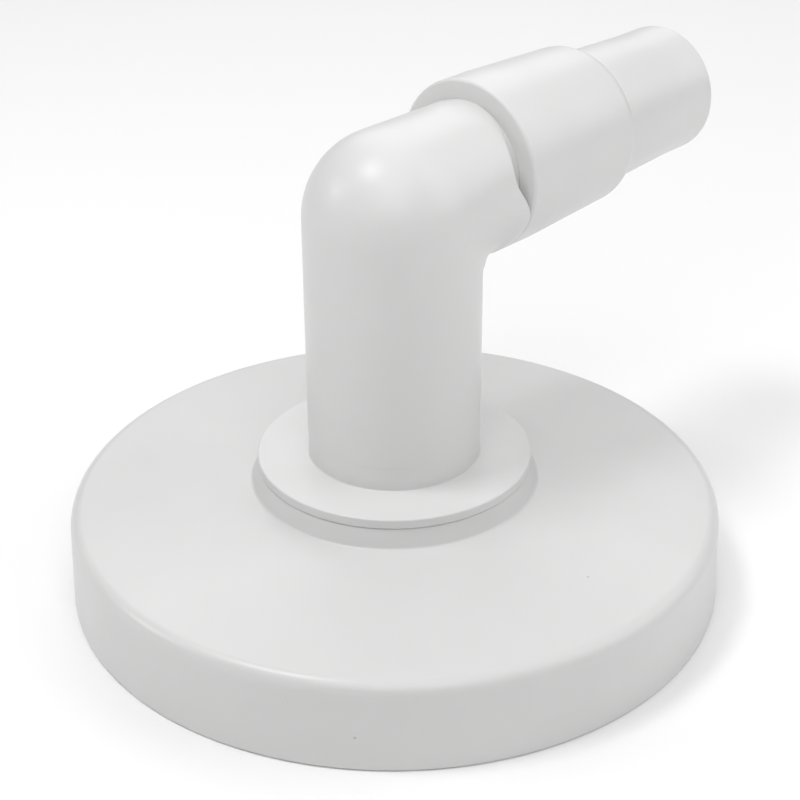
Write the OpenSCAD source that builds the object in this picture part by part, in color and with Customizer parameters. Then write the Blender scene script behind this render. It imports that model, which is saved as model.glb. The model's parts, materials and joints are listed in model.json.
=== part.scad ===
// Skimmer vacuum plate: a shallow white dish with a skirt, and on its raised boss
// a 90 degree elbow that swivels, with a hose tail stepped for two hose sizes.
// Millimetres. +Z is up and the hose tail points along +X. The origin is on the
// swivel axis, in the plane of the skirt's lip.

/* [Plate] */
// Outside diameter of the skirt at its lip
lip_d = 188; // [186:0.5:192]
// Outside diameter of the skirt just under the rounded rim
rim_d = 186.2; // [184:0.2:186.4]
// Height of the rounded rim above the lip
rim_h = 25.9; // [24.5:0.1:27]
// Radius that rounds the rim
rim_round = 3.7; // [2:0.1:4.5]
// Wall thickness of the plate
wall = 3; // [2.4:0.1:3.2]
// Inside diameter of the lip, which slips over a basket's rim
socket_d = 181.2; // [180:0.1:182]
// Depth of the lip's straight inside wall
socket_depth = 8; // [6:0.5:8.5]
// Number of radial ribs under the plate
rib_count = 8; // [6:1:16]
// Thickness of the ribs
rib_t = 2; // [1.2:0.1:3]

/* [Boss] */
// Diameter of the boss where it meets the plate
foot_d = 81.8; // [80.6:0.2:84]
// Height of the plate's top at the foot of the boss
foot_h = 31.7; // [30.5:0.1:33]
// Diameter of the boss at its top
boss_d = 77.7; // [76.6:0.1:79.6]
// Height of the boss's top face
boss_h = 37.1; // [36.5:0.1:38]

/* [Swivel] */
// Outside diameter of the part of the sleeve that turns in the hub
journal_d = 48; // [47:0.1:48.4]
// Radial running clearance of the sleeve in the hub
running_gap = 0.06; // [0.03:0.01:0.1]
// Diameter of the sleeve's flange
flange_d = 78.2; // [76:0.1:80]
// Thickness of the flange
flange_t = 2.7; // [2:0.1:3.5]
// Open seam between the boss and the flange
seam = 0.3; // [0.2:0.05:0.5]
// Height of the collar that the elbow is cemented onto
collar_h = 7.2; // [4:0.1:9]
// Inside diameter of the sleeve
sleeve_bore_d = 37; // [34:0.5:38]
// Height of the sleeve's lower end above the lip
sleeve_end_h = 9; // [8.6:0.1:11]

/* [Elbow] */
// Outside diameter of the upright barrel
barrel_d = 49; // [48.4:0.1:50]
// Inside diameter of the upright barrel
barrel_bore_d = 42; // [41:0.1:42.4]
// Height of the axis of the elbow's arm
arm_h = 113.8; // [108:0.1:120]
// Outside diameter of the elbow's arm
arm_d = 44.4; // [43.8:0.1:46]
// Distance from the swivel axis to the end of the arm
arm_end = 29.5; // [27:0.1:34]
// Radius that rounds the end of the arm
arm_round = 3; // [1:0.1:3]

/* [Hose tail] */
// Height of the hose tail's axis, which is higher than the arm's
tail_h = 116.9; // [116.4:0.1:117.2]
// Diameter of the root, for a 50 mm hose
root_d = 49.4; // [48.8:0.1:50.4]
// Diameter of the large section just before the shoulder
shoulder_d = 46.6; // [45.6:0.1:48]
// Distance from the swivel axis to the front of the shoulder
shoulder_x = 78.15; // [74:0.05:84]
// Radius that rounds the shoulder
shoulder_round = 3.2; // [1:0.1:4]
// Diameter of the nozzle where it leaves the shoulder
nozzle_root_d = 40.6; // [39.6:0.1:41.4]
// Diameter of the nozzle's straight tip, for a 38 mm hose
nozzle_d = 38.4; // [37.6:0.1:39]
// Distance from the swivel axis to the nozzle's mouth
nozzle_end = 120.8; // [112:0.1:130]
// Inside diameter of the nozzle
nozzle_bore_d = 32.4; // [30:0.1:33.2]

/* [Hidden] */

fn_large = 180;
fn_pipe = 96;
fn_ring = 24;
arc_steps = 6;
fit_gap = 0.05;
overlap = 0.5;

lip_r = lip_d / 2;
rim_r = rim_d / 2;
socket_r = socket_d / 2;
foot_r = foot_d / 2;
boss_r = boss_d / 2;
journal_r = journal_d / 2;
hub_bore_r = journal_r + running_gap;
flange_r = flange_d / 2;
sleeve_bore_r = sleeve_bore_d / 2;
barrel_r = barrel_d / 2;
barrel_bore_r = barrel_bore_d / 2;
arm_r = arm_d / 2;
root_r = root_d / 2;
shoulder_r = shoulder_d / 2;
nozzle_root_r = nozzle_root_d / 2;
nozzle_r = nozzle_d / 2;
nozzle_bore_r = nozzle_bore_d / 2;

// Hub under the boss, and the two washers that the swivel runs on
hub_t = 3.4;
hub_end_h = 20;
washer_t = 1.25;
washer_in_r = 26.5;
washer_out_r = 36.4;
recess_gap = 0.1;
recess_h = boss_h + seam - washer_t - 2 * fit_gap;
thrust_r = 33;
thrust_top_h = hub_end_h - fit_gap;

// Seal under the rim: a flat ring in a groove above the lip's straight inside wall
seal_t = 2.4;
seal_in_r = 84.5;
groove_depth = 0.6;
ledge_h = socket_depth + seal_t + 0.2;
upper_wall_r = socket_r - 1.4;
ring_rib_r = 84;

// Flange, collar and the spigot that the elbow's barrel is cemented over
flange_base_h = boss_h + seam;
flange_top_h = flange_base_h + flange_t;
collar_top_h = flange_top_h + collar_h;
spigot_top_h = collar_top_h + 18;

// O-rings in the sleeve
o_ring_section_r = 0.9;
o_ring_mid_r = journal_r - o_ring_section_r;
groove_w = 2.4;
groove_floor_r = journal_r - 2 * o_ring_section_r - 0.01;
o_ring_heights = [31, 25];

// Thread on the sleeve's lower end, as ridges, and its nut
thread_crest_r = journal_r - 0.4;
thread_root_r = thread_crest_r - 0.8;
thread_pitch = 2;
thread_top_h = 19;
nut_base_h = 12;
nut_top_h = thrust_top_h - washer_t - fit_gap;
nut_r = 29.5;
lug_r = 33.5;
lug_root_r = 27;
lug_w = 10;
lug_count = 6;
screw_r = 1.5;
screw_head_r = 2.7;
screw_head_t = 1.8;
screw_tip_r = 20;
screw_h = (nut_base_h + nut_top_h) / 2;
screw_angles = [0, 180];

// Where the elbow's arm enters the hose tail
joint_spigot_r = arm_r - (tail_h - arm_h) - 0.2;
joint_bore_r = nozzle_bore_r;
joint_length = 23;
keel_r = root_r - 0.1;
keel_top_h = tail_h - 8;
corner_h = arm_h + arm_r - barrel_r;

// Straight lands on the hose tail
root_land = 10;
mouth_land = 11.5;
mouth_round = 1.5;
edge_round = 0.8;

// Points on a quarter turn or less, about (cx, cy), from angle a0 to a1
function arc(cx, cy, r, a0, a1) = [
    for (i = [0 : arc_steps]) let (a = a0 + (a1 - a0) * i / arc_steps)
        [cx + r * cos(a), cy + r * sin(a)]
];

// A flat ring with its base at height h
module ring(r_out, r_in, h, t, fn) {
    translate([0, 0, h])
        difference() {
            cylinder(r = r_out, h = t, $fn = fn);
            translate([0, 0, -1])
                cylinder(r = r_in, h = t + 2, $fn = fn);
        }
}

// A turned shape about a line along +X at height h; points are (radius, x)
module turned_along_x(points, h) {
    translate([0, 0, h])
        rotate([0, 90, 0])
            rotate_extrude($fn = fn_pipe)
                polygon(points);
}

// Dish wall, skirt, boss and hub in one outline, from the lip up and back down
module dish() {
    under_h = rim_h - wall;
    rotate_extrude($fn = fn_large)
        polygon(concat(
            [[socket_r, 0], [lip_r - edge_round, 0], [lip_r, edge_round]],
            arc(rim_r - rim_round, rim_h - rim_round, rim_round, 0, 90),
            [[foot_r, foot_h]],
            [[boss_r, boss_h - edge_round / 2], [boss_r - edge_round / 2, boss_h]],
            [[washer_out_r + recess_gap, boss_h], [washer_out_r + recess_gap, recess_h]],
            [[hub_bore_r, recess_h], [hub_bore_r, hub_end_h]],
            [[hub_bore_r + hub_t, hub_end_h], [hub_bore_r + hub_t, recess_h - wall]],
            [[boss_r - wall, recess_h - wall], [foot_r - wall, foot_h - wall]],
            [[upper_wall_r - rim_round, under_h], [upper_wall_r, under_h - rim_round]],
            [[upper_wall_r, ledge_h], [socket_r + groove_depth, ledge_h]],
            [[socket_r + groove_depth, socket_depth], [socket_r, socket_depth]]
        ));
}

// One radial rib, from the hub out to the ring rib
module rib(angle) {
    inner_r = hub_bore_r + hub_t - overlap;
    outer_r = ring_rib_r + overlap;
    rotate([90, 0, angle])
        translate([0, 0, -rib_t / 2])
            linear_extrude(rib_t)
                polygon([
                    [inner_r, hub_end_h + 2],
                    [thrust_r + 3, hub_end_h + 2],
                    [outer_r, ledge_h + 2],
                    [outer_r, rim_h - wall + overlap],
                    [foot_r - wall, foot_h - wall + overlap],
                    [boss_r - wall, recess_h - wall + overlap],
                    [inner_r, recess_h - wall + overlap]
                ]);
}

module vac_plate() {
    color("white")
        union() {
            dish();
            ring(ring_rib_r + rib_t, ring_rib_r, ledge_h, rim_h - wall - ledge_h + overlap, fn_large);
            for (i = [0 : rib_count - 1])
                rib((i + 0.5) * 360 / rib_count);
        }
}

module basket_seal() {
    color("dimgray")
        ring(socket_r + groove_depth - 0.2, seal_in_r, ledge_h - seal_t - fit_gap, seal_t, fn_large);
}

module slip_washer() {
    color("ivory")
        ring(washer_out_r, washer_in_r, recess_h + fit_gap, washer_t, fn_pipe);
}

// Flange, collar, journal with O-ring grooves, and the threaded end, turned in one outline
module sleeve_outline() {
    thread_turns = floor((thread_top_h - sleeve_end_h) / thread_pitch);
    thread_points = [
        for (i = [0 : thread_turns - 1]) let (z = sleeve_end_h + i * thread_pitch)
            each [
                [thread_root_r, z],
                [thread_crest_r, z + 0.3 * thread_pitch],
                [thread_crest_r, z + 0.6 * thread_pitch],
                [thread_root_r, z + 0.9 * thread_pitch]
            ]
    ];
    groove_points = [
        for (i = [1, 0]) let (z = o_ring_heights[i])
            each [
                [journal_r, z - groove_w / 2],
                [groove_floor_r, z - groove_w / 2],
                [groove_floor_r, z + groove_w / 2],
                [journal_r, z + groove_w / 2]
            ]
    ];
    rotate_extrude($fn = fn_pipe)
        polygon(concat(
            [[sleeve_bore_r, sleeve_end_h]],
            thread_points,
            [[thread_root_r, thread_top_h + 0.4], [journal_r, thread_top_h + 1.4]],
            groove_points,
            [[journal_r, flange_base_h], [flange_r - 0.3, flange_base_h]],
            [[flange_r, flange_base_h + 0.3], [flange_r, flange_top_h - 0.5]],
            [[flange_r - 0.5, flange_top_h], [barrel_r - 0.1, flange_top_h]],
            [[barrel_r - 0.1, collar_top_h], [barrel_bore_r - fit_gap, collar_top_h]],
            [[barrel_bore_r - fit_gap, spigot_top_h], [sleeve_bore_r, spigot_top_h]]
        ));
}

module swivel_sleeve() {
    color("white")
        difference() {
            sleeve_outline();
            for (a = screw_angles)
                rotate([0, 0, a])
                    translate([screw_tip_r - 1, 0, screw_h])
                        rotate([0, 90, 0])
                            cylinder(r = screw_r + 0.02, h = journal_r, $fn = fn_ring);
        }
}

module o_ring(h) {
    color("dimgray")
        translate([0, 0, h])
            rotate_extrude($fn = fn_pipe)
                translate([o_ring_mid_r, 0])
                    circle(r = o_ring_section_r, $fn = fn_ring);
}

module upper_o_ring() {
    o_ring(o_ring_heights[0]);
}

module lower_o_ring() {
    o_ring(o_ring_heights[1]);
}

// Arm of the elbow with its rounded end, and the smaller spigot that enters the hose tail
module arm_outline() {
    turned_along_x(concat([[0, 0], [arm_r, 0]], arc_end(arm_r, arm_end, arm_round), [[0, arm_end]]), arm_h);
    turned_along_x(
        [[0, 0], [joint_spigot_r, 0], [joint_spigot_r, arm_end + joint_length], [0, arm_end + joint_length]],
        tail_h
    );
}

// Rounded end of a turned shape: from the side at radius r to the end face at x
function arc_end(r, x, round_r) = arc(r - round_r, x - round_r, round_r, 0, 90);

// Underside of the arm, flush with the hose tail
module keel() {
    intersection() {
        turned_along_x([[0, 0], [keel_r, 0], [keel_r, arm_end], [0, arm_end]], tail_h);
        translate([0, -keel_r, tail_h - keel_r - 1])
            cube([arm_end, 2 * keel_r, keel_top_h - tail_h + keel_r + 1]);
    }
}

module elbow_bend() {
    color("white")
        difference() {
            union() {
                translate([0, 0, collar_top_h])
                    cylinder(r = barrel_r, h = corner_h - collar_top_h, $fn = fn_pipe);
                translate([0, 0, corner_h])
                    sphere(r = barrel_r, $fn = fn_pipe);
                arm_outline();
                keel();
            }
            translate([0, 0, collar_top_h - 1])
                cylinder(r = barrel_bore_r, h = corner_h - collar_top_h + 1, $fn = fn_pipe);
            translate([0, 0, corner_h])
                sphere(r = barrel_bore_r, $fn = fn_pipe);
            translate([0, 0, tail_h])
                rotate([0, 90, 0])
                    cylinder(r = joint_bore_r, h = arm_end + joint_length + 1, $fn = fn_pipe);
        }
}

module hose_tail() {
    socket_end = arm_end + joint_length + 0.2;
    socket_wall_r = joint_spigot_r + fit_gap;
    color("white")
        turned_along_x(concat(
            [[socket_wall_r, arm_end], [root_r - edge_round, arm_end], [root_r, arm_end + edge_round]],
            [[root_r, arm_end + edge_round + root_land]],
            arc_end(shoulder_r, shoulder_x, shoulder_round),
            [[nozzle_root_r, shoulder_x], [nozzle_r, nozzle_end - mouth_round - mouth_land]],
            arc_end(nozzle_r, nozzle_end, mouth_round),
            [[nozzle_bore_r + 0.4, nozzle_end], [nozzle_bore_r, nozzle_end - 0.4]],
            [[nozzle_bore_r, socket_end], [socket_wall_r, socket_end]]
        ), tail_h);
}

module thrust_washer() {
    color("ivory")
        ring(thrust_r, journal_r + 0.1, thrust_top_h - washer_t, washer_t, fn_pipe);
}

module lock_nut() {
    nut_t = nut_top_h - nut_base_h;
    between_lugs = 180 / lug_count;
    color("gainsboro")
        difference() {
            union() {
                rotate([0, 0, between_lugs])
                    translate([0, 0, nut_base_h])
                        cylinder(r = nut_r, h = nut_t, $fn = fn_pipe);
                for (i = [0 : lug_count - 1])
                    rotate([0, 0, i * 360 / lug_count])
                        translate([lug_root_r, -lug_w / 2, nut_base_h])
                            cube([lug_r - lug_root_r, lug_w, nut_t]);
            }
            rotate([0, 0, between_lugs])
                translate([0, 0, nut_base_h - 1])
                    cylinder(r = thread_crest_r + fit_gap, h = nut_t + 2, $fn = fn_pipe);
            for (a = screw_angles)
                rotate([0, 0, a])
                    translate([journal_r - 2, 0, screw_h])
                        rotate([0, 90, 0])
                            cylinder(r = screw_r + fit_gap, h = lug_r, $fn = fn_ring);
        }
}

module nut_lock_screws() {
    color("silver")
        for (a = screw_angles)
            rotate([0, 0, a])
                translate([0, 0, screw_h])
                    rotate([0, 90, 0]) {
                        translate([0, 0, screw_tip_r])
                            cylinder(r = screw_r, h = lug_r - screw_tip_r + fit_gap, $fn = fn_ring);
                        translate([0, 0, lug_r + fit_gap])
                            cylinder(r = screw_head_r, h = screw_head_t, $fn = fn_ring);
                    }
}

vac_plate();
basket_seal();
slip_washer();
swivel_sleeve();
upper_o_ring();
lower_o_ring();
elbow_bend();
hose_tail();
thrust_washer();
lock_nut();
nut_lock_screws();
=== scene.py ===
"""Looks of the swivel-elbow vacuum cap: a white dish with a flanged elbow and a stepped hose tail.

Everything is in metres. The origin is on the swivel axis in the plane of the dish's lip, +Z is up
and the hose tail points along +X.
"""

import json
import math

import bmesh
import bpy
from mathutils import Matrix, Vector


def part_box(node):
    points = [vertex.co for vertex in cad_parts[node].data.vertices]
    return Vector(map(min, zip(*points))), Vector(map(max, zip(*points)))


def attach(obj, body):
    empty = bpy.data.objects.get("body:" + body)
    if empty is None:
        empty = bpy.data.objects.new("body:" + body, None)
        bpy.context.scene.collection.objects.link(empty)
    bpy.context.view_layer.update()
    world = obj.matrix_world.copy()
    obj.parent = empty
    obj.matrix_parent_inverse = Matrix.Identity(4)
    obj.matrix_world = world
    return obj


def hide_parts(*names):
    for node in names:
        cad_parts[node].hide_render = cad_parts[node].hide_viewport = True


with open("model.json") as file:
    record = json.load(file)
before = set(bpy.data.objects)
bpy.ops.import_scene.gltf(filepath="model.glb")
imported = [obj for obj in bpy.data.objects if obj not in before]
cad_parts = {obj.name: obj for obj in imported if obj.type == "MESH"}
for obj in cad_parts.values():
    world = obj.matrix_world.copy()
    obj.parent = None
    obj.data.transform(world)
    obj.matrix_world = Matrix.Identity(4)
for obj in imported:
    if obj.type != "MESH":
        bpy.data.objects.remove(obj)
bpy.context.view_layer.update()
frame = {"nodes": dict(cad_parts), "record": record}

MM = 0.001
TURN = 2 * math.pi
ORIGIN = (0, 0, 0)
UP = (0, 0, 1)

# Places and sizes taken from the frame
MOUNTS = {mount["name"]: mount for mount in frame["record"]["mounts"]}


def mount_radius(name):
    return MOUNTS[name]["dims"]["r_mm"] * MM


def mount_length(name):
    return MOUNTS[name]["dims"]["length_mm"] * MM


_, plate_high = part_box("vac_plate")
sleeve_low, sleeve_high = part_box("swivel_sleeve")
elbow_low, elbow_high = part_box("elbow_bend")
tail_low, tail_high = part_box("hose_tail")
seal_low, seal_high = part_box("basket_seal")
slip_low, slip_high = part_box("slip_washer")
_, thrust_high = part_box("thrust_washer")
nut_low, nut_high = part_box("lock_nut")
screws_low, screws_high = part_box("nut_lock_screws")

# Dish
WALL = 3 * MM
LIP_R = plate_high.x
RIM_R = LIP_R - 0.9 * MM
RIM_H = 25.9 * MM
RIM_ROUND = 3.7 * MM
LIP_ROUND = 0.8 * MM
SOCKET_R = mount_radius("rim_socket")
SOCKET_DEPTH = mount_length("rim_socket")
FOOT_R = 40.9 * MM
FOOT_H = 31.7 * MM
FOOT_ROUND = 1 * MM
BOSS_R = 38.85 * MM
BOSS_H = plate_high.z
RECESS_R = slip_high.x + 0.1 * MM
RECESS_H = slip_low.z - 0.05 * MM
HUB_BORE_R = 24.06 * MM
HUB_T = 3.4 * MM
HUB_END_H = thrust_high.z + 0.05 * MM
LEDGE_H = seal_high.z + 0.05 * MM
GROOVE_R = seal_high.x + 0.2 * MM
UPPER_WALL_R = SOCKET_R - 1.4 * MM
RING_RIB_R = 84 * MM
RING_RIB_T = 2 * MM
RIB_COUNT = 8
RIB_TIP_T = 1.7 * MM
RIB_ROOT_T = 2.3 * MM
BURIED = 0.6 * MM

# Sleeve
JOURNAL_R = 24 * MM
FLANGE_R = sleeve_high.x
FLANGE_BASE_H = BOSS_H + 0.12 * MM
FLANGE_TOP_H = 40.1 * MM
COLLAR_TOP_H = elbow_low.z
SLEEVE_BORE_R = 18.5 * MM
SLEEVE_END_H = sleeve_low.z
SPIGOT_TOP_H = sleeve_high.z
THREAD_CREST_R = 23.6 * MM
THREAD_ROOT_R = 22.8 * MM
THREAD_PITCH = 2 * MM
THREAD_TOP_H = 19 * MM

# Elbow
BARREL_R = -elbow_low.x
BARREL_BORE_R = 21 * MM
ARM_TOP_H = elbow_high.z
ARM_R = 22.2 * MM
ARM_END = tail_low.x + 0.6 * MM
ARM_H = ARM_TOP_H - ARM_R
INNER_ROUND = 3 * MM
INNER_BLEND = 3.5 * MM
END_ROUND = 1.2 * MM
CRESCENT_DEPTH = 3.7 * MM
CRESCENT_MIDDLE = 74
BEND_STEPS = 40
JOINT_R = 18.9 * MM
JOINT_END = elbow_high.x

# Hose tail
TAIL_H = (tail_low.z + tail_high.z) / 2
ROOT_R = mount_radius("hose_root_50")
SHOULDER_X = 78.15 * MM
SHOULDER_R = 23.3 * MM
SHOULDER_ROUND = 4 * MM
NOZZLE_ROOT_R = 20.3 * MM
NOZZLE_R = mount_radius("hose_spigot_38")
NOZZLE_END = tail_high.x
NOZZLE_BORE_R = 16.2 * MM
MOUTH_ROUND = 1.5 * MM
ARM_UNDER_H = TAIL_H - ROOT_R

# Segments round a full turn, and steps in a rounded corner
PLATE_STEPS = 192
PIPE_STEPS = 128
CORNER_STEPS = 8

# Vertices closer than this are merged, and edges sharper than this stay hard
MERGE = MM / 1000
HARD_ANGLE = math.radians(38)

# Pits in the plate: place, radius and how dark
PLATE_PITS = (
    ((-0.0893, -0.0254, 0.0262), 0.9 * MM, 0.7),
    ((-0.0746, -0.0565, 0.0102), 0.5 * MM, 0.5),
    ((-0.0005, -0.0711, 0.0282), 0.5 * MM, 0.4),
)

# Camera: the way it looks from, its distance, its lens, and the point it looks at
CAMERA_AZIMUTH = -46.44
CAMERA_ELEVATION = 33.79
CAMERA_DISTANCE = 0.545
CAMERA_LENS = 82.23
CAMERA_ROLL = math.radians(-0.36)
AIM_H = 55.4 * MM
AIM_RIGHT = 1.7 * MM

# Light: what each softbox is aimed at, then its name, azimuth, elevation, distance, side and watts
LIGHT_TARGET = (0, 0, 0.05)
SOFTBOXES = (
    ("overhead_softbox", 0, 89.9, 1.6, 1.6, 6.2),
    ("front_softbox", -46, 50, 1.6, 1.3, 8.2),
    ("right_softbox", 44, 35, 1.6, 1.3, 7.6),
    ("back_softbox", 134, 40, 1.6, 1.3, 5.8),
    ("high_key", -124, 68, 1.2, 0.3, 3.8),
    ("low_key", -137, 30, 1.2, 0.3, 1.5),
)
SKY_STRENGTH = 0.2
FLOOR_HALF = 4
FLOOR_DROP = 0.0001


# ---------------------------------------------------------------- outlines and turning

def rounded(corners):
    """Closed outline through corners (u, v, radius), with the straights held close to each arc."""
    hold = 0.1 * MM
    points = []
    for i, (u, v, radius) in enumerate(corners):
        corner = Vector((u, v))
        back = Vector(corners[i - 1][:2]) - corner
        ahead = Vector(corners[(i + 1) % len(corners)][:2]) - corner
        if radius == 0:
            points.append(corner)
            continue
        half = back.angle(ahead) / 2
        reach = radius / math.tan(half)
        back.normalize()
        ahead.normalize()
        centre = corner + (back + ahead).normalized() * radius / math.sin(half)
        start = corner + back * reach
        end = corner + ahead * reach
        points.append(start + back * hold)
        for step in range(CORNER_STEPS + 1):
            spoke = (start - centre).slerp(end - centre, step / CORNER_STEPS)
            points.append(centre + spoke.normalized() * radius)
        points.append(end + ahead * hold)
    return points


def turned(outline, steps):
    """A closed outline of (radius, height) spun about Z, as a bmesh."""
    bm = bmesh.new()
    ring = [bm.verts.new((radius, 0, height)) for radius, height in outline]
    edges = [bm.edges.new((ring[i - 1], ring[i])) for i in range(len(ring))]
    bmesh.ops.spin(bm, geom=ring + edges, cent=ORIGIN, axis=UP, angle=TURN, steps=steps, use_merge=True)
    bmesh.ops.remove_doubles(bm, verts=bm.verts, dist=MERGE)
    bmesh.ops.recalc_face_normals(bm, faces=bm.faces)
    return bm


def lay_along_x(bm, height):
    """Turns a shape made about Z so that it lies about a line along X at that height."""
    lay = Matrix.Translation((0, 0, height)) @ Matrix.Rotation(math.pi / 2, 4, "Y")
    bmesh.ops.transform(bm, matrix=lay, verts=bm.verts)


def add_shell(bm, other):
    """Copies the mesh of another bmesh into bm and frees the other one."""
    mesh = bpy.data.meshes.new("shell")
    other.to_mesh(mesh)
    other.free()
    bm.from_mesh(mesh)
    bpy.data.meshes.remove(mesh)


def make_object(name, bm, material):
    """A smooth-shaded object from a bmesh, with its hard edges kept."""
    mesh = bpy.data.meshes.new(name)
    bm.to_mesh(mesh)
    bm.free()
    mesh.shade_smooth()
    mesh.set_sharp_from_angle(angle=HARD_ANGLE)
    mesh.materials.append(material)
    made = bpy.data.objects.new(name, mesh)
    bpy.context.scene.collection.objects.link(made)
    return made


def joined_solid(target, operand, operation):
    """Unites or cuts target with operand, keeps the result in target's mesh, and removes operand."""
    modifier = target.modifiers.new("joined", "BOOLEAN")
    modifier.operation = operation
    modifier.solver = "MANIFOLD"
    modifier.object = operand
    depsgraph = bpy.context.evaluated_depsgraph_get()
    mesh = bpy.data.meshes.new_from_object(target.evaluated_get(depsgraph))
    target.modifiers.remove(modifier)
    old = target.data
    mesh.name = target.name
    target.data = mesh
    bpy.data.meshes.remove(old)
    bpy.data.objects.remove(operand)
    target.data.shade_smooth()
    target.data.set_sharp_from_angle(angle=HARD_ANGLE)


# ---------------------------------------------------------------- materials

class Nodes:
    """Short ways to add and link the nodes of one material."""

    def __init__(self, name):
        self.material = bpy.data.materials.new(name)
        self.material.use_nodes = True
        self.tree = self.material.node_tree
        self.tree.nodes.clear()
        self.output = self.add("ShaderNodeOutputMaterial")
        self.shader = self.add("ShaderNodeBsdfPrincipled")
        self.link(self.shader.outputs["BSDF"], self.output.inputs["Surface"])
        self.place = self.add("ShaderNodeTexCoord").outputs["Object"]

    def add(self, kind, **settings):
        node = self.tree.nodes.new(kind)
        for key, value in settings.items():
            setattr(node, key, value)
        return node

    def link(self, source, target):
        self.tree.links.new(source, target)

    def noise(self, size, detail=2.0, stretch=None):
        """Noise whose patches are about size metres across."""
        node = self.add("ShaderNodeTexNoise")
        node.inputs["Scale"].default_value = 1 / size
        node.inputs["Detail"].default_value = detail
        place = self.place
        if stretch:
            mapping = self.add("ShaderNodeMapping")
            mapping.inputs["Scale"].default_value = stretch
            self.link(place, mapping.inputs["Vector"])
            place = mapping.outputs["Vector"]
        self.link(place, node.inputs["Vector"])
        return node.outputs["Fac"]

    def between(self, value, low, high, to_low, to_high, smooth=False):
        """Maps value from low..high to to_low..to_high and clamps it."""
        node = self.add("ShaderNodeMapRange")
        node.interpolation_type = "SMOOTHSTEP" if smooth else "LINEAR"
        self.link(value, node.inputs["Value"])
        node.inputs["From Min"].default_value = low
        node.inputs["From Max"].default_value = high
        node.inputs["To Min"].default_value = to_low
        node.inputs["To Max"].default_value = to_high
        return node.outputs["Result"]

    def math(self, operation, a, b):
        node = self.add("ShaderNodeMath", operation=operation)
        for socket, value in zip(node.inputs, (a, b)):
            if isinstance(value, (int, float)):
                socket.default_value = value
            else:
                self.link(value, socket)
        return node.outputs["Value"]

    def mix(self, share, a, b):
        """Colour a at share 0 and colour b at share 1; each may be a colour or a socket."""
        node = self.add("ShaderNodeMix", data_type="RGBA")
        self.link(share, node.inputs["Factor"])
        for socket, value in ((node.inputs["A"], a), (node.inputs["B"], b)):
            if isinstance(value, tuple):
                socket.default_value = (*value, 1)
            else:
                self.link(value, socket)
        return node.outputs["Result"]

    def near(self, point, radius):
        """1 within about radius of a point, 0 outside it."""
        node = self.add("ShaderNodeVectorMath", operation="DISTANCE")
        self.link(self.place, node.inputs[0])
        node.inputs[1].default_value = point
        return self.between(node.outputs["Value"], 0.6 * radius, radius, 1, 0, smooth=True)

    def bump(self, height, strength, distance, below=None):
        node = self.add("ShaderNodeBump")
        node.inputs["Strength"].default_value = strength
        node.inputs["Distance"].default_value = distance
        self.link(height, node.inputs["Height"])
        if below is not None:
            self.link(below, node.inputs["Normal"])
        return node.outputs["Normal"]


def moulded_white(name, shade, pits=()):
    """White ABS: even, slightly satin, with a fine mould texture, faint flow and a few small pits."""
    n = Nodes(name)
    n.shader.inputs["IOR"].default_value = 1.5
    flow = n.noise(60 * MM, 3)
    # shade scales the whole colour, so each copy of this plastic carries painted light or painted shade for
    # its piece
    cloudy = tuple(shade * channel for channel in (0.735, 0.735, 0.732))
    clear = tuple(shade * channel for channel in (0.765, 0.765, 0.762))
    colour = n.mix(n.between(flow, 0.35, 0.65, 0, 1), cloudy, clear)
    grain = n.noise(0.45 * MM, 2)
    waves = n.noise(9 * MM, 1)
    handling = n.noise(14 * MM, 4, stretch=(1, 1, 0.35))
    roughness = n.between(handling, 0.35, 0.7, 0.3, 0.4)
    dust = n.add("ShaderNodeTexVoronoi")
    dust.inputs["Scale"].default_value = 1 / (16 * MM)
    n.link(n.place, dust.inputs["Vector"])
    speck = n.between(dust.outputs["Distance"], 0.008, 0.016, 0.55, 0)
    colour = n.mix(speck, colour, (0.42, 0.41, 0.38))
    for point, radius, darkness in pits:
        share = n.math("MULTIPLY", n.near(point, radius), darkness)
        colour = n.mix(share, colour, (0.3, 0.29, 0.27))
    n.link(colour, n.shader.inputs["Base Color"])
    n.link(roughness, n.shader.inputs["Roughness"])
    fine = n.bump(grain, 0.05, 0.05 * MM)
    n.link(n.bump(waves, 0.12, 0.12 * MM, below=fine), n.shader.inputs["Normal"])
    return n.material


def soft_rubber():
    """Black moulded rubber, dull, with a slight bloom."""
    n = Nodes("seal_rubber")
    bloom = n.noise(5 * MM, 4)
    n.link(n.mix(n.between(bloom, 0.4, 0.7, 0, 1), (0.018, 0.018, 0.02), (0.05, 0.05, 0.052)),
           n.shader.inputs["Base Color"])
    n.link(n.between(bloom, 0.3, 0.7, 0.55, 0.75), n.shader.inputs["Roughness"])
    n.link(n.bump(n.noise(0.3 * MM, 2), 0.2, 0.05 * MM), n.shader.inputs["Normal"])
    return n.material


def grey_nut_plastic():
    """Light grey moulded plastic with a matt face."""
    n = Nodes("nut_plastic")
    flow = n.noise(20 * MM, 3)
    n.link(n.mix(n.between(flow, 0.35, 0.65, 0, 1), (0.5, 0.51, 0.515), (0.56, 0.565, 0.57)),
           n.shader.inputs["Base Color"])
    n.link(n.between(flow, 0.3, 0.7, 0.45, 0.58), n.shader.inputs["Roughness"])
    n.link(n.bump(n.noise(0.4 * MM, 2), 0.15, 0.05 * MM), n.shader.inputs["Normal"])
    return n.material


def natural_acetal():
    """Waxy off-white acetal with faint turning marks."""
    n = Nodes("washer_plastic")
    flow = n.noise(12 * MM, 3)
    n.link(n.mix(n.between(flow, 0.35, 0.65, 0, 1), (0.72, 0.7, 0.62), (0.77, 0.75, 0.68)),
           n.shader.inputs["Base Color"])
    n.link(n.between(flow, 0.3, 0.7, 0.32, 0.45), n.shader.inputs["Roughness"])
    n.link(n.bump(n.noise(0.6 * MM, 1), 0.1, 0.04 * MM), n.shader.inputs["Normal"])
    return n.material


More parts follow.
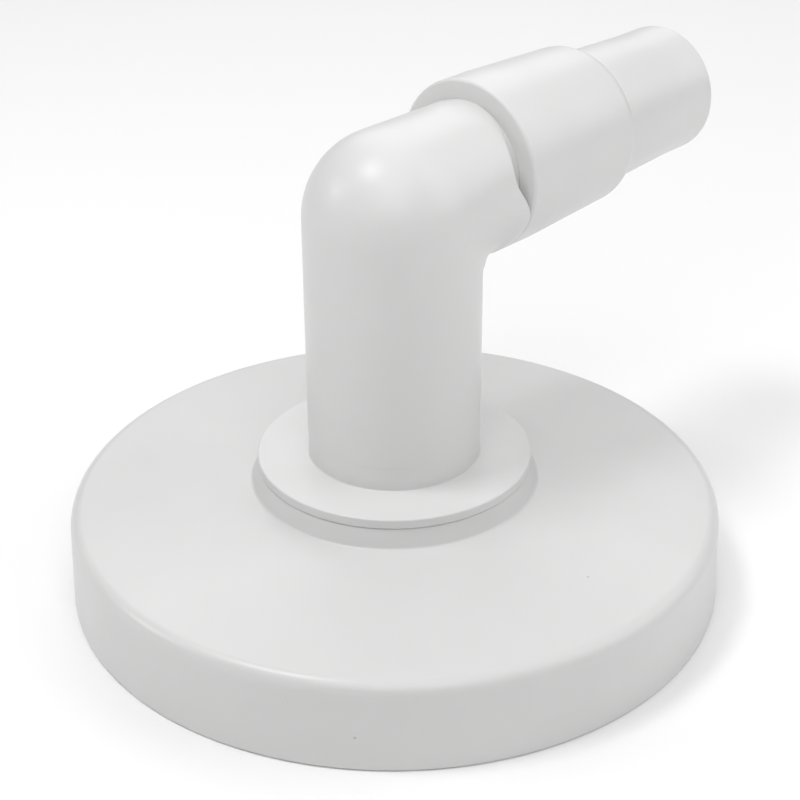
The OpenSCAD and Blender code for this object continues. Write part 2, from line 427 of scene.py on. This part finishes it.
def stainless():
    """Passivated stainless steel, finely scratched."""
    n = Nodes("screw_steel")
    n.shader.inputs["Metallic"].default_value = 1
    scratches = n.noise(0.5 * MM, 3, stretch=(1, 6, 1))
    n.link(n.mix(n.between(scratches, 0.3, 0.7, 0, 1), (0.52, 0.52, 0.53), (0.66, 0.66, 0.67)),
           n.shader.inputs["Base Color"])
    n.link(n.between(scratches, 0.3, 0.7, 0.25, 0.42), n.shader.inputs["Roughness"])
    return n.material


# ---------------------------------------------------------------- plate

def dish_outline():
    """The dish in section: lip, rim, top, boss, recess, hub, and back along the underside."""
    under_h = RIM_H - WALL
    hub_r = HUB_BORE_R + HUB_T
    return rounded([
        (SOCKET_R, 0, 0.2 * MM),
        (LIP_R, 0, LIP_ROUND),
        (RIM_R, RIM_H, RIM_ROUND),
        (FOOT_R, FOOT_H, FOOT_ROUND),
        (BOSS_R, BOSS_H, 0.5 * MM),
        (RECESS_R, BOSS_H, 0.15 * MM),
        (RECESS_R, RECESS_H, 0),
        (HUB_BORE_R, RECESS_H, 0),
        (HUB_BORE_R, HUB_END_H, 0.3 * MM),
        (hub_r, HUB_END_H, 0.4 * MM),
        (hub_r, RECESS_H - WALL, 1.2 * MM),
        (BOSS_R - WALL, RECESS_H - WALL, 1.5 * MM),
        (FOOT_R - WALL, FOOT_H - WALL, 1.5 * MM),
        (UPPER_WALL_R, under_h, RIM_ROUND - 1 * MM),
        (UPPER_WALL_R, LEDGE_H, 0.3 * MM),
        (GROOVE_R, LEDGE_H, 0),
        (GROOVE_R, SOCKET_DEPTH, 0),
        (SOCKET_R, SOCKET_DEPTH, 0.2 * MM),
    ])


def rib_shell(angle):
    """One drafted radial rib under the dish, thinner at its free edge, with that edge rounded.

    Its ends are buried in the hub, the dish and the ring rib, so that they join without a gap.
    """
    hub_r = HUB_BORE_R + HUB_T
    free_h = HUB_END_H + 2 * MM
    bm = bmesh.new()
    side = [
        (hub_r - BURIED, free_h),
        (thrust_high.x + 3 * MM, free_h),
        (RING_RIB_R + BURIED, LEDGE_H + 2 * MM),
        (RING_RIB_R + BURIED, RIM_H - WALL + BURIED),
        (FOOT_R - WALL, FOOT_H - WALL + BURIED),
        (BOSS_R - WALL, RECESS_H - WALL + BURIED),
        (hub_r - BURIED, RECESS_H - WALL + BURIED),
    ]
    face = bm.faces.new([bm.verts.new((x, -0.5, z)) for x, z in side])
    free_verts = set(list(face.verts)[:3])
    thickened = bmesh.ops.extrude_face_region(bm, geom=[face])
    moved = [item for item in thickened["geom"] if isinstance(item, bmesh.types.BMVert)]
    bmesh.ops.translate(bm, vec=(0, 1, 0), verts=moved)
    free_verts |= {vert for vert in moved if vert.co.z <= free_h + MM and vert.co.z < RIM_H - WALL}
    for vert in bm.verts:
        vert.co.y *= RIB_TIP_T if vert in free_verts else RIB_ROOT_T
    bmesh.ops.recalc_face_normals(bm, faces=bm.faces)
    free_edges = [edge for edge in bm.edges
                  if all(vert in free_verts for vert in edge.verts)
                  and abs(edge.verts[0].co.y - edge.verts[1].co.y) < MM / 100]
    bmesh.ops.bevel(bm, geom=free_edges, offset=0.45 * MM, offset_type="OFFSET", segments=3,
                    profile=0.5, affect="EDGES", material=-1)
    bmesh.ops.rotate(bm, cent=ORIGIN, matrix=Matrix.Rotation(angle, 3, "Z"), verts=bm.verts)
    return bm


def make_plate(material):
    """Dish with its ring rib and radial ribs, one moulding."""
    plate = make_object("vacuum_plate", turned(dish_outline(), PLATE_STEPS), material)
    ribs = turned(rounded([
        (RING_RIB_R, LEDGE_H, 0.4 * MM),
        (RING_RIB_R + RING_RIB_T, LEDGE_H, 0.4 * MM),
        (RING_RIB_R + RING_RIB_T + 0.2 * MM, RIM_H - WALL + 0.4 * MM, 0),
        (RING_RIB_R - 0.2 * MM, RIM_H - WALL + 0.4 * MM, 0),
    ]), PLATE_STEPS)
    ring = make_object("ring_rib", ribs, material)
    joined_solid(plate, ring, "UNION")
    for i in range(RIB_COUNT):
        rib = make_object("rib", rib_shell((i + 0.5) * TURN / RIB_COUNT), material)
        joined_solid(plate, rib, "UNION")
    return plate


def make_seal(material):
    """Flat rubber ring with two raised beads on its lower face."""
    bead = 0.5 * MM
    face_h = seal_low.z + bead
    inner, outer = RING_RIB_R + 0.5 * MM, seal_high.x
    corners = [(outer, seal_high.z, 0.3 * MM), (inner, seal_high.z, 0.3 * MM), (inner, face_h, 0.3 * MM)]
    for centre in (inner + 1.8 * MM, outer - 1.8 * MM):
        corners += [
            (centre - 0.6 * MM, face_h, 0),
            (centre - 0.3 * MM, seal_low.z, 0.15 * MM),
            (centre + 0.3 * MM, seal_low.z, 0.15 * MM),
            (centre + 0.6 * MM, face_h, 0),
        ]
    corners.append((outer, face_h, 0.3 * MM))
    return make_object("basket_seal_ring", turned(rounded(corners), PLATE_STEPS), material)


# ---------------------------------------------------------------- sleeve, nut and screws

def thread_shell():
    """The helical ridge on the sleeve's lower end."""
    steps_per_turn = 96
    turns = (THREAD_TOP_H - SLEEVE_END_H) / THREAD_PITCH - 1
    steps = round(steps_per_turn * turns)
    base_h = SLEEVE_END_H + 0.2 * MM
    buried_r = THREAD_ROOT_R - 0.4 * MM
    bm = bmesh.new()
    section = [
        (buried_r, base_h),
        (THREAD_CREST_R, base_h + 0.55 * MM),
        (THREAD_CREST_R, base_h + 0.85 * MM),
        (buried_r, base_h + 1.4 * MM),
    ]
    face = bm.faces.new([bm.verts.new((radius, 0, height)) for radius, height in section])
    bmesh.ops.spin(bm, geom=[face], cent=ORIGIN, axis=UP, angle=TURN * steps / steps_per_turn,
                   steps=steps, dvec=(0, 0, THREAD_PITCH / steps_per_turn))
    bmesh.ops.recalc_face_normals(bm, faces=bm.faces)
    return bm


def make_sleeve(material):
    """Flange, collar and journal in one turned piece, with its thread."""
    groove_w = 2.4 * MM
    groove_r = 22.2 * MM
    grooves = []
    for node in ("lower_o_ring", "upper_o_ring"):
        low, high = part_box(node)
        middle = (low.z + high.z) / 2
        grooves += [
            (JOURNAL_R, middle - groove_w / 2, 0),
            (groove_r, middle - groove_w / 2, 0),
            (groove_r, middle + groove_w / 2, 0),
            (JOURNAL_R, middle + groove_w / 2, 0),
        ]
    spigot_r = BARREL_BORE_R - 0.05 * MM
    bm = turned(rounded([
        (SLEEVE_BORE_R, SLEEVE_END_H, 0.4 * MM),
        (THREAD_ROOT_R, SLEEVE_END_H, 0.3 * MM),
        (THREAD_ROOT_R, THREAD_TOP_H, 0),
        (JOURNAL_R, THREAD_TOP_H + 1 * MM, 0),
        *grooves,
        (JOURNAL_R, FLANGE_BASE_H, 0),
        (FLANGE_R, FLANGE_BASE_H, 0.3 * MM),
        (FLANGE_R, FLANGE_TOP_H, 0.5 * MM),
        (BARREL_R - 0.1 * MM, FLANGE_TOP_H, 0.4 * MM),
        (BARREL_R - 0.1 * MM, COLLAR_TOP_H - 0.02 * MM, 0.05 * MM),
        (spigot_r, COLLAR_TOP_H - 0.02 * MM, 0),
        (spigot_r, SPIGOT_TOP_H, 0.3 * MM),
        (SLEEVE_BORE_R, SPIGOT_TOP_H, 0.4 * MM),
    ]), PIPE_STEPS)
    add_shell(bm, thread_shell())
    return make_object("flanged_swivel_sleeve", bm, material)


def make_nut(material):
    """Lock nut: a ring with six flat lugs for a spanner, every edge broken."""
    lug_count = 6
    lug_r = nut_high.x
    body_r = 29.5 * MM
    lug_half = math.radians(9)
    steps = 144
    rings = []
    bm = bmesh.new()
    for radius in (THREAD_CREST_R + 0.05 * MM, body_r):
        made = bmesh.ops.create_circle(bm, cap_ends=False, segments=steps, radius=radius)
        rings.append(made["verts"])
    for vert in rings[1]:
        angle = math.atan2(vert.co.y, vert.co.x)
        from_lug = (angle + math.pi / lug_count) % (TURN / lug_count) - math.pi / lug_count
        if abs(from_lug) < lug_half:
            vert.co *= lug_r / (body_r * math.cos(from_lug))
    bmesh.ops.bridge_loops(bm, edges=list(bm.edges))
    bmesh.ops.translate(bm, vec=(0, 0, nut_low.z), verts=bm.verts)
    raised = bmesh.ops.extrude_face_region(bm, geom=list(bm.faces))
    top = [item for item in raised["geom"] if isinstance(item, bmesh.types.BMVert)]
    bmesh.ops.translate(bm, vec=(0, 0, nut_high.z - nut_low.z), verts=top)
    bmesh.ops.recalc_face_normals(bm, faces=bm.faces)
    hard = [edge for edge in bm.edges
            if len(edge.link_faces) == 2 and edge.calc_face_angle(0) > math.radians(35)]
    bmesh.ops.bevel(bm, geom=hard, offset=0.4 * MM, offset_type="OFFSET", segments=2, profile=0.5,
                    affect="EDGES", clamp_overlap=True, material=-1)
    return make_object("lugged_lock_nut", bm, material)


def make_screws(material):
    """Two self-tapping screws through opposite lugs, with a cross recess in each pan head."""
    height = (screws_low.z + screws_high.z) / 2
    head_r = (screws_high.z - screws_low.z) / 2
    head_end = screws_high.x
    head_start = head_end - 1.8 * MM
    shank_r = 1.5 * MM
    shank_start = 20 * MM
    profile = [
        (0, shank_start), (shank_r * 0.5, shank_start + 0.8 * MM), (shank_r, shank_start + 2 * MM),
        (shank_r, head_start), (head_r - 0.1 * MM, head_start), (head_r, head_start + 0.3 * MM),
    ]
    crown = 6
    for step in range(1, crown + 1):
        rise = step / crown * math.pi / 2
        profile.append((head_r * math.cos(rise),
                        head_start + 0.3 * MM + (head_end - head_start - 0.3 * MM) * math.sin(rise)))
    bm = bmesh.new()
    line = [bm.verts.new((radius, 0, along)) for radius, along in profile]
    edges = [bm.edges.new((line[i], line[i + 1])) for i in range(len(line) - 1)]
    bmesh.ops.spin(bm, geom=line + edges, cent=ORIGIN, axis=UP, angle=TURN, steps=32, use_merge=True)
    bmesh.ops.remove_doubles(bm, verts=bm.verts, dist=MERGE)
    bmesh.ops.recalc_face_normals(bm, faces=bm.faces)
    lay_along_x(bm, height)
    screw = make_object("nut_lock_screw_pair", bm, material)
    for turn in (0, math.pi / 2):
        slot = bmesh.new()
        bmesh.ops.create_cube(slot, size=1)
        bmesh.ops.scale(slot, vec=(1.6 * MM, 0.55 * MM, 2.8 * MM), verts=slot.verts)
        bmesh.ops.rotate(slot, cent=ORIGIN, matrix=Matrix.Rotation(turn, 3, "X"), verts=slot.verts)
        bmesh.ops.translate(slot, vec=(head_end, 0, height), verts=slot.verts)
        joined_solid(screw, make_object("slot", slot, material), "DIFFERENCE")
    bm = bmesh.new()
    bm.from_mesh(screw.data)
    twin = bmesh.ops.duplicate(bm, geom=list(bm.verts) + list(bm.edges) + list(bm.faces))
    twin_verts = [item for item in twin["geom"] if isinstance(item, bmesh.types.BMVert)]
    bmesh.ops.rotate(bm, cent=ORIGIN, matrix=Matrix.Rotation(math.pi, 3, "Z"), verts=twin_verts)
    bm.to_mesh(screw.data)
    bm.free()
    return screw


# ---------------------------------------------------------------- elbow

def ease(low, high, value):
    """0 below low, 1 above high, and smooth between."""
    share = min(1, max(0, (value - low) / (high - low)))
    return share * share * (3 - 2 * share)


def outside(point, upright_r, level_r, level_h):
    """How far a point lies outside a tube that rises on the swivel axis and turns along +X.

    The level leg starts as wide as the upright one and tapers to level_r at the arm's end. The two
    blend on the inner side of the bend only, so that its outer corner keeps the upright leg's radius.
    """
    turn_h = level_h + level_r - upright_r
    along = min(1, max(0, point.x / ARM_END))
    radius = upright_r + (level_r - upright_r) * along
    axis_h = turn_h + (level_h - turn_h) * along
    upright = math.hypot(point.x, point.y, max(0, point.z - turn_h)) - upright_r
    level = math.hypot(max(0, -point.x), point.y, point.z - axis_h) - radius
    blend = INNER_BLEND * ease(0, upright_r, point.x) + MERGE
    overlap = max(0, blend - abs(upright - level))
    return min(upright, level) - overlap * overlap / (4 * blend)


def reach(centre, direction, tube):
    """Distance from a point inside the tube, along direction, to its surface, by halving."""
    near, far = 0, 80 * MM
    halvings = 26
    for _ in range(halvings):
        middle = (near + far) / 2
        if outside(centre + direction * middle, *tube) < 0:
            near = middle
        else:
            far = middle
    return near


def lofted(sections):
    """A closed skin through sections, each a function of the angle; the last joins the first."""
    bm = bmesh.new()
    bmesh.ops.create_grid(bm, x_segments=PIPE_STEPS, y_segments=len(sections), size=1)
    for vert in bm.verts:
        row = round((vert.co.y + 1) / 2 * len(sections)) % len(sections)
        vert.co = sections[row](vert.co.x * math.pi)
    bmesh.ops.remove_doubles(bm, verts=bm.verts, dist=MERGE)
    bmesh.ops.recalc_face_normals(bm, faces=bm.faces)
    return bm


def bend_section(sweep, pivot, tube, flush=0):
    """A section of the tube in a plane turned by sweep about the pivot, as a function of the angle."""
    tiny = 1e-9
    level_h = tube[2]
    slant = Vector((-math.cos(sweep), 0, math.sin(sweep)))
    to_upright = pivot.x / max(math.cos(sweep), tiny)
    to_level = (level_h - pivot.z) / max(math.sin(sweep), tiny)
    centre = pivot + slant * min(to_upright, to_level)

    def place(angle):
        direction = slant * math.cos(angle) + Vector((0, math.sin(angle), 0))
        own = reach(centre, direction, tube)
        return centre + direction * (own + flush * lower_side(angle) * (tail_reach(angle) - own))

    return place


def lower_side(angle):
    """1 on the arm's underside, where it lies flush with the hose tail, and 0 on its upper side."""
    return ease(76, 106, abs(math.degrees(angle)))


def tail_reach(angle):
    """Distance from the arm's axis to the surface of the hose tail, by angle from the top."""
    rise = TAIL_H - ARM_H
    return rise * math.cos(angle) + math.sqrt(ROOT_R ** 2 - (rise * math.sin(angle)) ** 2)


def recess_share(angle):
    """0 where the arm meets the hose tail's end, 1 at the middle of the crescent on either side."""
    degrees = abs(math.degrees(angle))
    return ease(5, CRESCENT_MIDDLE, degrees) * (1 - ease(CRESCENT_MIDDLE, 107, degrees))


def recess_depth(angle):
    """How far the end of the arm stands back from the hose tail, by angle from the top."""
    return CRESCENT_DEPTH * recess_share(angle)


def stand_back(point):
    """Moves a point near the arm's end back, to open the crescent recess beside the hose tail."""
    angle = math.atan2(point.y, point.z - ARM_H)
    share = ease(0.5 * ARM_END, ARM_END, point.x)
    return point - Vector((recess_depth(angle) * share, 0, 0))


def level_ring(radius, height):
    """A circle about the swivel axis; angle 0 is on the outer side of the bend."""
    return lambda angle: Vector((-radius * math.cos(angle), radius * math.sin(angle), height))


def upright_ring(radius, x):
    """A circle about the hose tail's axis; angle 0 is at the top."""
    return lambda angle: Vector((x, radius * math.sin(angle), TAIL_H + radius * math.cos(angle)))


def make_elbow(material):
    """Upright barrel, bend, and the arm whose spigot enters the hose tail, with its waterway."""
    edge = 0.06 * MM
    pivot = Vector((BARREL_R + INNER_ROUND, 0, ARM_UNDER_H - INNER_ROUND))
    shell = (BARREL_R, ARM_R, ARM_H)
    waterway = (BARREL_BORE_R, NOZZLE_BORE_R, TAIL_H)
    barrel_rings = 6
    turns = [step / BEND_STEPS for step in range(BEND_STEPS + 1)]
    arm_section = bend_section(math.pi / 2, pivot, shell, flush=1)

    def bend_part(turn):
        section = bend_section(turn * math.pi / 2, pivot, shell, flush=ease(0.4, 1, turn))
        return lambda angle: stand_back(section(angle))

    def arm_end(inset, setback):
        """A ring of the arm's rounded end, moved inwards and back by shares of the rounding."""
        least_share = 0.05

        def place(angle):
            point = arm_section(angle)
            point.x = ARM_END
            point = stand_back(point)
            inward = Vector((0, -point.y, TAIL_H - point.z)).normalized()
            rounding = (least_share + recess_share(angle)) * END_ROUND
            return point + inward * rounding * inset - Vector((rounding * setback, 0, 0))

        return place

    def spigot_root(angle):
        """Where the arm's end face meets the spigot that enters the hose tail."""
        point = arm_section(angle)
        spoke = Vector((0, point.y, point.z - TAIL_H)).normalized() * JOINT_R
        return Vector((ARM_END - recess_depth(angle), spoke.y, TAIL_H + spoke.z))

    outer = [level_ring(BARREL_R - edge, COLLAR_TOP_H), level_ring(BARREL_R, COLLAR_TOP_H + edge)]
    for step in range(barrel_rings):
        height = COLLAR_TOP_H + 3 * edge + (pivot.z - COLLAR_TOP_H) * step / barrel_rings
        outer.append(level_ring(BARREL_R, height))
    outer += [bend_part(turn) for turn in turns]
    outer.append(arm_end(0, 1.1))
    for degrees in (0, 18, 36, 54, 72, 90):
        round_by = math.radians(degrees)
        outer.append(arm_end(1 - math.cos(round_by), 1 - math.sin(round_by)))
    outer += [spigot_root, upright_ring(JOINT_R, JOINT_END - edge), upright_ring(JOINT_R - edge, JOINT_END)]
    inner = [upright_ring(NOZZLE_BORE_R, JOINT_END), upright_ring(NOZZLE_BORE_R, ARM_END)]
    inner += [bend_section(turn * math.pi / 2, pivot, waterway) for turn in reversed(turns)]
    inner += [level_ring(BARREL_BORE_R, COLLAR_TOP_H + 3 * edge), level_ring(BARREL_BORE_R, COLLAR_TOP_H)]
    return make_object("swept_elbow", lofted(outer + inner), material)


def make_hose_tail(material):
    """Large section, shoulder and nozzle, turned, with the socket and waterway inside."""
    taper_round = 60 * MM
    socket_r = JOINT_R + 0.05 * MM
    socket_end = JOINT_END + 0.2 * MM
    land_end = ARM_END + 10.8 * MM
    mouth_start = NOZZLE_END - MOUTH_ROUND - mount_length("hose_spigot_38")
    bm = turned(rounded([
        (socket_r, ARM_END, 0),
        (ROOT_R, ARM_END, 0.9 * MM),
        (ROOT_R, land_end, taper_round),
        (SHOULDER_R, SHOULDER_X, SHOULDER_ROUND),
        (NOZZLE_ROOT_R, SHOULDER_X, 0.25 * MM),
        (NOZZLE_R, mouth_start, taper_round),
        (NOZZLE_R, NOZZLE_END, MOUTH_ROUND),
        (NOZZLE_BORE_R, NOZZLE_END, 0.4 * MM),
        (NOZZLE_BORE_R, socket_end, 0),
        (socket_r, socket_end, 0),
    ]), PIPE_STEPS)
    lay_along_x(bm, TAIL_H)
    return make_object("stepped_hose_tail", bm, material)


# ---------------------------------------------------------------- put the pieces in the frame

# One white plastic in two copies. The plate's copy is painted darker (0.91) than the elbow's (0.97):
# painted shade on the plate and painted light on the elbow, for how the light falls on each.
plate_white_shaded = moulded_white("plate_plastic", 0.91, pits=PLATE_PITS)
elbow_white_lit = moulded_white("elbow_plastic", 0.97)
rubber = soft_rubber()
nut_grey = grey_nut_plastic()
acetal = natural_acetal()
steel = stainless()

PIECES = (
    (make_plate(plate_white_shaded), "vac_plate", "plate", "plate_plastic"),
    (make_seal(rubber), "basket_seal", "plate", "seal_rubber"),
    (make_sleeve(elbow_white_lit), "swivel_sleeve", "elbow", "elbow_plastic"),
    (make_elbow(elbow_white_lit), "elbow_bend", "elbow", "elbow_plastic"),
    (make_hose_tail(elbow_white_lit), "hose_tail", "elbow", "elbow_plastic"),
    (make_nut(nut_grey), "lock_nut", "elbow", "nut_plastic"),
    (make_screws(steel), "nut_lock_screws", "elbow", "screw_steel"),
)
for piece, node, body, slot in PIECES:
    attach(piece, body)
    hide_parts(node)

# The washers and O-rings keep their CAD meshes and only take a material
for node, material in (("slip_washer", acetal), ("thrust_washer", acetal),
                       ("upper_o_ring", rubber), ("lower_o_ring", rubber)):
    kept = frame["nodes"][node]
    kept.data.materials.clear()
    kept.data.materials.append(material)


# ---------------------------------------------------------------- camera, floor and light

def aim(thing, target, roll=0.0):
    """Turns a camera or light so that it looks at target."""
    look = (Vector(target) - thing.location).to_track_quat("-Z", "Y").to_matrix().to_4x4()
    thing.rotation_euler = (look @ Matrix.Rotation(roll, 4, "Z")).to_euler()


def on_sphere(azimuth, elevation, distance, centre=ORIGIN):
    """A point seen from centre at that azimuth, where 0 is -Y and 90 is +X, and that elevation."""
    a, e = math.radians(azimuth), math.radians(elevation)
    return Vector(centre) + Vector((
        math.sin(a) * math.cos(e), -math.cos(a) * math.cos(e), math.sin(e))) * distance


def make_camera():
    data = bpy.data.cameras.new("camera")
    data.sensor_width = 36
    data.lens = CAMERA_LENS
    data.clip_start = 0.02
    camera = bpy.data.objects.new("camera", data)
    bpy.context.scene.collection.objects.link(camera)
    bpy.context.scene.camera = camera
    camera.location = on_sphere(CAMERA_AZIMUTH, CAMERA_ELEVATION, CAMERA_DISTANCE)
    azimuth = math.radians(CAMERA_AZIMUTH)
    right = Vector((math.cos(azimuth), math.sin(azimuth), 0))
    aim(camera, Vector((0, 0, AIM_H)) + right * AIM_RIGHT, roll=CAMERA_ROLL)


def make_softbox(name, azimuth, elevation, distance, side, watts):
    data = bpy.data.lights.new(name, "AREA")
    data.shape = "SQUARE"
    data.size = side
    data.energy = watts
    light = bpy.data.objects.new(name, data)
    bpy.context.scene.collection.objects.link(light)
    light.location = on_sphere(azimuth, elevation, distance, LIGHT_TARGET)
    aim(light, LIGHT_TARGET)


def make_floor():
    bm = bmesh.new()
    bmesh.ops.create_grid(bm, x_segments=1, y_segments=1, size=FLOOR_HALF)
    n = Nodes("studio_floor")
    n.shader.inputs["Base Color"].default_value = (0.93, 0.93, 0.93, 1)
    n.shader.inputs["Roughness"].default_value = 0.9
    n.shader.inputs["Specular IOR Level"].default_value = 0.1
    floor = make_object("studio_floor", bm, n.material)
    floor.location.z = -FLOOR_DROP


def make_world(strength):
    world = bpy.data.worlds.new("studio")
    bpy.context.scene.world = world
    world.use_nodes = True
    background = world.node_tree.nodes["Background"]
    background.inputs["Color"].default_value = (1, 1, 1, 1)
    background.inputs["Strength"].default_value = strength


make_camera()
make_floor()
make_world(SKY_STRENGTH)
for softbox in SOFTBOXES:
    make_softbox(*softbox)
bpy.context.scene.view_settings.view_transform = "Standard"
